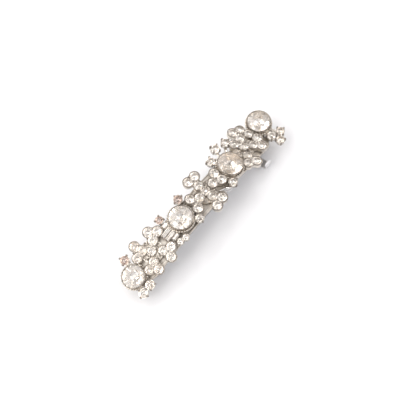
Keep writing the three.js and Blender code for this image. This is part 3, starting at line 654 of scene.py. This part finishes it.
ROSE = {"chaton_04", "chaton_05", "chaton_06"}
for name, s in LARGE.items():
    fr = station(s["x"], s["tilt"])
    u, v, r = s["big"]
    b = Build()
    o, g = r + 0.3, GIRDLE_LARGE
    prof = [(0, FOOT), (o * 0.90, FOOT), (o * 0.92, FOOT + 0.1), (o * 0.93, 1.0), (o * 0.95, 1.15), (o * 0.95, 2.3), (o * 0.97, 2.45), (o - 0.03, g - 0.5),
            (o, g - 0.1), (o + 0.02, g + 0.12), (o - 0.05, g + 0.24), (o - 0.15, g + 0.27), (r + 0.02, g + 0.2), (r, g + 0.02), (r + 0.02, g - 0.12),
            (r + 0.02, g - 0.78 * r), (0, g - 0.78 * r)]
    # the cup's upper rim bands take the rim metal, painted dark as shade
    lathe(b, prof, 72, fr @ Matrix.Translation((u, v, 0)), [0] * (72 * 8) + [2] * (72 * 5) + [0] * (72 * 3))
    # collar: a ledge that gives way to its neighbours, with a row of beads on it
    n = 96
    edge = []
    for i in range(n):
        t = math.tau * i / n
        q = r + COLLAR_OUT
        while q > r + 0.2 and not clear_of(name, fr, u + q * math.cos(t), v + q * math.sin(t), 2.0, 0.30):
            q -= 0.06
        edge.append(q)
    V, F = [], []
    ring_z = [(-0.9, FOOT + 0.02), (-0.05, FOOT + 0.02), (0.0, FOOT + 0.1), (0.0, COLLAR_Z - 0.12), (-0.08, COLLAR_Z), (-0.95, COLLAR_Z)]
    for dr, z in ring_z:
        V += [(u + (edge[i] + dr if dr > -0.5 else r - 0.2) * math.cos(math.tau * i / n), v + (edge[i] + dr if dr > -0.5 else r - 0.2) * math.sin(math.tau * i / n), z) for i in range(n)]
    for k in range(len(ring_z)):
        k1 = (k + 1) % len(ring_z)
        for i in range(n):
            j = (i + 1) % n
            F.append([k * n + i, k * n + j, k1 * n + j, k1 * n + i])
    b.add(V, F, 0, False, fr)
    R = r + 0.58
    m_ = int(math.tau * R / 0.98)
    for i in range(m_):
        t = math.tau * (i + 0.5) / m_
        x, y = u + R * math.cos(t), v + R * math.sin(t)
        if clear_of(name, fr, x, y, COLLAR_Z, 0.62):
            ball(b, x, y, COLLAR_Z + 0.30, 0.44, fr, 0, 10, 6)
    strut(b, (u, v), s["foot"], fr, 0.75, FOOT + 0.02, 0.9)
    for p_, q_ in s["more"]:
        strut(b, p_, q_, fr, 0.6, FOOT + 0.02, 0.9)
    for node_name, (a, c, q) in s["singles"].items():
        strut(b, (u, v), (a, c), fr, 0.55, FOOT + 0.02, 0.88)
        chaton(b, a, c, q, fr, math.atan2(c, a) + 0.6)
        stone_node(node_name, a, c, q - 0.02, GIRDLE_SINGLE, fr, 2 if node_name in ROSE else tone(), "crystal_small", tilt=0.09)
    fine(name + "_fine", b, [CUP, PRONG_SHADED, RIM_SHADED], [name], "setting")
    stone_node(s["stone"], u, v, r - 0.02, GIRDLE_LARGE, fr, 1 if "mid_right" in name else 0, "crystal_large", tilt=0.02,
               table=0.44, crown=0.26, depth=0.75, fold=12 if "mid_right" in name else 8)

# ---------------------------------------------------------------- baguettes
fr = station(BAG_X)
b = Build()
for node_name, (u, v, r) in BAG_SINGLES.items():
    strut(b, (0, v * 0.6), (u, v), fr, 0.5, FOOT + 0.02, 0.85)
    if r > 1.3:
        chaton(b, u, v, r, fr, 0.9)
    else:
        collet(b, u, v, r, GIRDLE_SINGLE, fr, 0, 20, wall=0.22, lift=0.08)
        for i in range(4):
            t = 0.4 + i * math.pi / 2
            ball(b, u + (r + 0.12) * math.cos(t), v + (r + 0.12) * math.sin(t), GIRDLE_SINGLE + 0.14, 0.24, fr, 1, 8, 5)
    stone_node(node_name, u, v, r - 0.02, GIRDLE_SINGLE, fr, 2 if node_name in ROSE else tone(), "crystal_small", tilt=0.09)


def block(b, u0, u1, v0, v1, z0, z1, fr, c=0.08, mat=0):
    V = []
    for z, k in ((z0, 0), (z1 - c, 0), (z1, c)):
        V += [(u0 + k, v0 + k, z), (u1 - k, v0 + k, z), (u1 - k, v1 - k, z), (u0 + k, v1 - k, z)]
    F = [[3, 2, 1, 0], [8, 9, 10, 11]]
    for k in (0, 4):
        for i in range(4):
            j = (i + 1) % 4
            F.append([k + i, k + j, k + 4 + j, k + 4 + i])
    b.add(V, F, mat, False, fr)


for node_name, (u, v, hl, hw) in BAGUETTES.items():
    block(b, u - hl - 0.28, u + hl + 0.28, v - hw - 0.24, v + hw + 0.24, FOOT, 1.12, fr)
    for s in (-1, 1):
        block(b, u - hl - 0.28, u + hl + 0.28, v + s * (hw + 0.08) - 0.13, v + s * (hw + 0.08) + 0.13, 1.0, 1.98, fr, 0.05, 1)
        block(b, u + s * (hl + 0.16) - 0.12, u + s * (hl + 0.16) + 0.12, v - hw - 0.2, v + hw + 0.2, 1.0, 1.98, fr, 0.05, 1)
    sb = Build()
    L, W, top, gz, bot = hl, hw - 0.08, 2.22, 1.86, 1.16
    V = []
    for z, iu, iv in ((bot, 0.5, W * 0.86), (gz, 0, 0), (gz + 0.18, 0.16, 0.18), (top, 0.42, W * 0.42)):
        V += [(-L + iu, -W + iv, z), (L - iu, -W + iv, z), (L - iu, W - iv, z), (-L + iu, W - iv, z)]
    F, M = [[3, 2, 1, 0], [12, 13, 14, 15]], [1, 0]
    for k, mt in ((0, 1), (4, 0), (8, 0)):
        for i in range(4):
            j = (i + 1) % 4
            F.append([k + i, k + j, k + 4 + j, k + 4 + i])
            M.append(mt)
    sb.add(V, F, M, False, fr @ Matrix.Translation((u, v, 0)) @ Matrix.Rotation(rng.uniform(-0.05, 0.05), 4, "X"))
    fine(node_name + "_fine", sb, [GLASS[0], FOIL[0]], [node_name], "crystal_baguette")
fine("baguette_channel_fine", b, [CUP, PRONG_SHADED], ["baguette_channel"], "setting")

# ---------------------------------------------------------------- marquise leaf: domed, with a centre crease
fr = station(LEAF["x"])
(a0, a1), (b0, b1) = LEAF["ends"]
cx, cy, L = (a0 + b0) / 2, (a1 + b1) / 2, math.hypot(b0 - a0, b1 - a1) / 2
th = math.atan2(b1 - a1, b0 - a0)
b = Build()
nu, nv = 28, 14
V, F = [], []
for i in range(nu + 1):
    t = -1 + 2 * i / nu
    wdt = LEAF["half"] * (1 - t * t) ** 0.8
    for j in range(nv + 1):
        q = -1 + 2 * j / nv
        dome = 0.75 * math.sqrt(max(0, 1 - t * t)) * (1 - abs(q) ** 2.2) + 0.10 * (1 - abs(q)) * (1 - t * t)
        V.append((t * L, q * wdt, LEAF["z0"] + 0.12 + dome))
base = len(V)
for i in range(nu + 1):
    t = -1 + 2 * i / nu
    wdt = LEAF["half"] * (1 - t * t) ** 0.8
    for j in range(nv + 1):
        q = -1 + 2 * j / nv
        V.append((t * L, q * wdt, LEAF["z0"]))
W1 = nv + 1
for i in range(nu):
    for j in range(nv):
        k = i * W1 + j
        F.append([k, k + W1, k + W1 + 1, k + 1])
        F.append([base + k, base + k + 1, base + k + W1 + 1, base + k + W1])
    for j, rev in ((0, False), (nv, True)):
        k = i * W1 + j
        q = [k, base + k, base + k + W1, k + W1]
        F.append(q[::-1] if rev else q)
b.add(V, F, 0, True, fr @ Matrix.Translation((cx, cy, 0)) @ Matrix.Rotation(th, 4, "Z"))
lathe(b, [(0, FOOT + 0.1), (0.5, FOOT + 0.1), (0.45, 0.6), (0, 0.6)], 16, fr @ Matrix.Translation((cx, cy, 0)))
fine("marquise_leaf_fine", b, [LEAF_M], ["marquise_leaf"], "leaf")

# ---------------------------------------------------------------- close the leaf's tips and the slivers between petal plates
for nm in ("marquise_leaf_fine", "flower_left_setting_fine", "flower_mid_setting_fine", "flower_right_setting_fine"):
    ob = bpy.data.objects.get(nm)
    if ob is None:
        continue
    bm = bmesh.new()
    bm.from_mesh(ob.data)
    if nm == "marquise_leaf_fine":
        bmesh.ops.remove_doubles(bm, verts=bm.verts, dist=2e-6)
    bmesh.ops.holes_fill(bm, edges=[e for e in bm.edges if len(e.link_faces) == 1], sides=0)
    bm.to_mesh(ob.data)
    bm.free()

# ---------------------------------------------------------------- backing strip with raised edges and fine ridges
b = Build()
LEN, HW, RC = 38.0, 5.2, 4.2
half = [(5.2, -0.9), (5.2, 0.12), (5.12, 0.24), (4.98, 0.28), (4.80, 0.26), (4.70, 0.12), (4.62, 0.02), (4.05, 0.0), (3.96, 0.12), (3.82, 0.15), (3.68, 0.12), (3.60, 0.0),
        (3.05, 0.0), (2.96, 0.11), (2.82, 0.14), (2.68, 0.11), (2.60, 0.0), (1.2, 0.0)]
prof = half + [(-y, z) for y, z in half[::-1]]
n, steps = len(prof), 140
V, F = [], []
xs = [-LEN + 2 * LEN * (0.5 - 0.5 * math.cos(math.pi * i / steps)) for i in range(steps + 1)]
for x in xs:
    over = max(0.0, abs(x) - (LEN - RC))
    w = HW - RC + math.sqrt(max(0.0, RC * RC - over * over))
    for y, z in prof:
        V.append((x, y * w / HW, arch_z(x) + z))
for i in range(steps):
    for j in range(n):
        k = (j + 1) % n
        F.append([i * n + j, i * n + k, (i + 1) * n + k, (i + 1) * n + j])
F.append(list(range(n))[::-1])
F.append([steps * n + j for j in range(n)])
b.add(V, F, 0, False, None)
strip = fine("backing_strip_fine", b, [STRIP], ["backing_strip"], "strip")

# ---------------------------------------------------------------- tension bow as a smooth leaf
def bow_line(x):
    x0, xa, x1, root, top, tip = -29.6, -27.1, 24.0, 2.95, 4.45, 1.25
    if x <= xa:
        return root
    k = (x - xa) / (x1 - xa)
    return root + (tip - root) * k + (top - (root + tip) / 2) * 4 * k * (1 - k)


b = Build()
V, F, steps, W, T, c = [], [], 90, 1.7, 0.2, 0.07
sec = [(-W, -T + c), (-W + c, -T), (W - c, -T), (W, -T + c), (W, T - c), (W - c, T), (-W + c, T), (-W, T - c)]
for i in range(steps + 1):
    x = -29.6 + (24.0 + 29.6) * i / steps
    end = min(x + 29.6, 24.0 - x)
    k = 1.0 if end > 1.2 else 0.45 + 0.55 * math.sqrt(max(0.0, 1 - (1 - end / 1.2) ** 2))
    for y, z in sec:
        V.append((x, y * k, bow_line(x) + z))
n = len(sec)
for i in range(steps):
    for j in range(n):
        k = (j + 1) % n
        F.append([i * n + j, (i + 1) * n + j, (i + 1) * n + k, i * n + k])
F += [list(range(n)), [steps * n + j for j in range(n)][::-1]]
b.add(V, [f_[::-1] for f_ in F], 0, False, None)
bow = b.make("tension_bow_fine", [SPRING])
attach(bow, "tension_bow")
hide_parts("tension_bow")

# ---------------------------------------------------------------- catch legs as smooth sprung strips
def spline(pts, per=7):
    P = [Vector(q) for q in pts]
    P = [P[0] * 2 - P[1]] + P + [P[-1] * 2 - P[-2]]
    out = []
    for k in range(1, len(P) - 2):
        a, b_, c, d = P[k - 1], P[k], P[k + 1], P[k + 2]
        for i in range(per):
            t = i / per
            out.append(0.5 * ((2 * b_) + (c - a) * t + (2 * a - 5 * b_ + 4 * c - d) * t * t + (3 * b_ - a - 3 * c + d) * t ** 3))
    out.append(P[-2])
    return out


LEG = [(2.95, 5.45), (2.95, 4.45), (1.68, 3.75), (1.68, 1.25), (2.45, 0.72), (6.5, 1.05), (8.2, 1.75), (9.0, 2.8), (8.8, 3.9), (8.0, 4.35)]
for side, nm in ((1, "catch_leg_left"), (-1, "catch_leg_right")):
    lo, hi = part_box(nm)
    x0, x1 = lo[0] / MM, hi[0] / MM
    line = spline(LEG)
    b = Build()
    V, F, n, h, c = [], [], 8, 0.22, 0.07
    for k, q in enumerate(line):
        d = (line[min(k + 1, len(line) - 1)] - line[max(k - 1, 0)]).normalized()
        nrm = Vector((-d.y, d.x))
        left = sum(((line[j + 1] - line[j]).length for j in range(k, len(line) - 1)), 0.0)
        kx = 1.0 if left > 1.1 else 0.5 + 0.5 * math.sqrt(max(0.0, 1 - (1 - left / 1.1) ** 2))
        mid, w_ = (x0 + x1) / 2, (x1 - x0) / 2 * kx
        for sx, sh in ((-w_, -h + c), (-w_ + c, -h), (w_ - c, -h), (w_, -h + c), (w_, h - c), (w_ - c, h), (-w_ + c, h), (-w_, h - c)):
            V.append((mid + sx, side * (q.x + nrm.x * sh), q.y + nrm.y * sh))
    for k in range(len(line) - 1):
        for j in range(n):
            m_ = (j + 1) % n
            f_ = [k * n + j, k * n + m_, (k + 1) * n + m_, (k + 1) * n + j]
            F.append(f_[::-1] if side > 0 else f_)
    e0, e1 = list(range(n))[::-1], [(len(line) - 1) * n + j for j in range(n)]
    F += [e0[::-1], e1[::-1]] if side > 0 else [e0, e1]
    b.add(V, F, 0, False, None)
    # the hook that the clasp arm's window snaps over
    hook = [(1.72, 1.5), (2.45, 1.5), (2.35, 1.1), (1.72, 0.95)]
    HV = [(x, side * y, z) for x in (x0 + 0.4, x1 - 0.4) for y, z in hook]
    HF = [[3, 2, 1, 0], [4, 5, 6, 7]] + [[i, (i + 1) % 4, 4 + (i + 1) % 4, 4 + i] for i in range(4)]
    b.add(HV, [f_[::-1] for f_ in HF] if side > 0 else HF, 0, False, None)
    leg = b.make(nm + "_fine", [LEG_M_LIT])
    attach(leg, nm)
    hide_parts(nm)

# ---------------------------------------------------------------- carried-over clip parts
for nm, mt in (("clip_plate", STEEL), ("hinge_pin", RIVET), ("clasp_arm", STEEL), ("bow_rivet", RIVET), ("catch_base", STEEL),
               ("rivet_hinge_end", RIVET), ("rivet_catch_end", RIVET)):
    ob = frame["nodes"][nm]
    ob = ob if hasattr(ob, "data") else bpy.data.objects[ob]
    ob.data.materials.clear()
    ob.data.materials.append(mt)
    wd = ob.modifiers.new("join", "WELD")
    wd.merge_threshold = 1e-6
    bv = ob.modifiers.new("edge", "BEVEL")
    bv.width, bv.segments, bv.limit_method, bv.angle_limit = 0.00008, 2, "ANGLE", math.radians(35)

# ---------------------------------------------------------------- floor and light
me = bpy.data.meshes.new("floor")
me.from_pydata([(-3, -3, 0), (3, -3, 0), (3, 3, 0), (-3, 3, 0)], [], [[0, 1, 2, 3]])
floor = bpy.data.objects.new("floor", me)
bpy.context.scene.collection.objects.link(floor)
floor.location.z = -0.00003
fm, nt, p = new_mat("white_paper")
nz = node(nt, "ShaderNodeTexNoise", Scale=60.0, Detail=4.0)
nt.links.new(coords(nt), nz.inputs["Vector"])
rp = ramp(nt, nz.outputs["Fac"], [(0.3, (0.885, 0.885, 0.89)), (0.7, (0.90, 0.90, 0.905))])
nt.links.new(rp.outputs["Color"], p.inputs["Base Color"])
p.inputs["Roughness"].default_value = 0.9
p.inputs["Specular IOR Level"].default_value = 0.1
me.materials.append(fm)

world = bpy.data.worlds.new("world")
bpy.context.scene.world = world
world.use_nodes = True
wt = world.node_tree
bg = wt.nodes["Background"]
tc = wt.nodes.new("ShaderNodeTexCoord")
sep = wt.nodes.new("ShaderNodeSeparateXYZ")
wt.links.new(tc.outputs["Generated"], sep.inputs["Vector"])
wr = wt.nodes.new("ShaderNodeValToRGB")
els = wr.color_ramp.elements
SKY = [(0.0, 0.86), (0.12, 0.76), (0.35, 0.72), (0.55, 0.84), (0.72, 0.93), (0.86, 0.93), (0.95, 0.62), (1.0, 0.90)]
els[0].position, els[1].position = SKY[0][0], SKY[-1][0]
els[0].color = (SKY[0][1], SKY[0][1] * 0.99, SKY[0][1] * 1.02, 1)
els[1].color = (SKY[-1][1], SKY[-1][1] * 0.99, SKY[-1][1] * 1.02, 1)
for z, q in SKY[1:-1]:
    e = els.new(z)
    e.color = (q, q * 0.99, q * 1.02, 1)
wt.links.new(sep.outputs["Z"], wr.inputs["Fac"])
# broad panels and gaps round the studio, so that cut stones sparkle
nz = wt.nodes.new("ShaderNodeTexNoise")
nz.inputs["Scale"].default_value, nz.inputs["Detail"].default_value = 4.5, 1.0
wt.links.new(tc.outputs["Generated"], nz.inputs["Vector"])
nr = wt.nodes.new("ShaderNodeValToRGB")
nr.color_ramp.elements[0].position, nr.color_ramp.elements[0].color = 0.44, (0.54, 0.515, 0.49, 1)
nr.color_ramp.elements[1].position, nr.color_ramp.elements[1].color = 0.54, (1.14, 1.14, 1.14, 1)
wt.links.new(nz.outputs["Fac"], nr.inputs["Fac"])
mx = wt.nodes.new("ShaderNodeMix")
mx.data_type, mx.blend_type = "RGBA", "MULTIPLY"
mx.inputs["Factor"].default_value = 1.0
wt.links.new(wr.outputs["Color"], mx.inputs["A"])
wt.links.new(nr.outputs["Color"], mx.inputs["B"])
wt.links.new(mx.outputs["Result"], bg.inputs["Color"])
bg.inputs["Strength"].default_value = 1.0


def area(name, direction, dist, size, power, color=(1, 1, 1), aim_at=(0, 0, 0.008)):
    ld = bpy.data.lights.new(name, "AREA")
    ld.shape, ld.size, ld.size_y, ld.energy, ld.color = "RECTANGLE", size[0], size[1], power, color
    ob = bpy.data.objects.new(name, ld)
    d = Vector(direction).normalized()
    ob.location = Vector(aim_at) + d * dist
    ob.rotation_euler = d.to_track_quat("Z", "Y").to_euler()
    bpy.context.scene.collection.objects.link(ob)
    return ob


area("key", (-0.42, 0.80, 0.80), 0.95, (1.35, 1.35), 8.0, (1.0, 0.99, 0.97))
area("fill_right", (0.75, -0.65, 0.75), 0.9, (0.9, 0.9), 1.7, (0.97, 0.98, 1.0))
area("fill_left", (-0.9, 0.1, 0.9), 0.8, (0.2, 0.3), 1.0, (1.0, 0.98, 0.95))
area("glint", (0.8, 0.5, 0.9), 0.8, (0.07, 0.07), 0.6, (1, 1, 1))
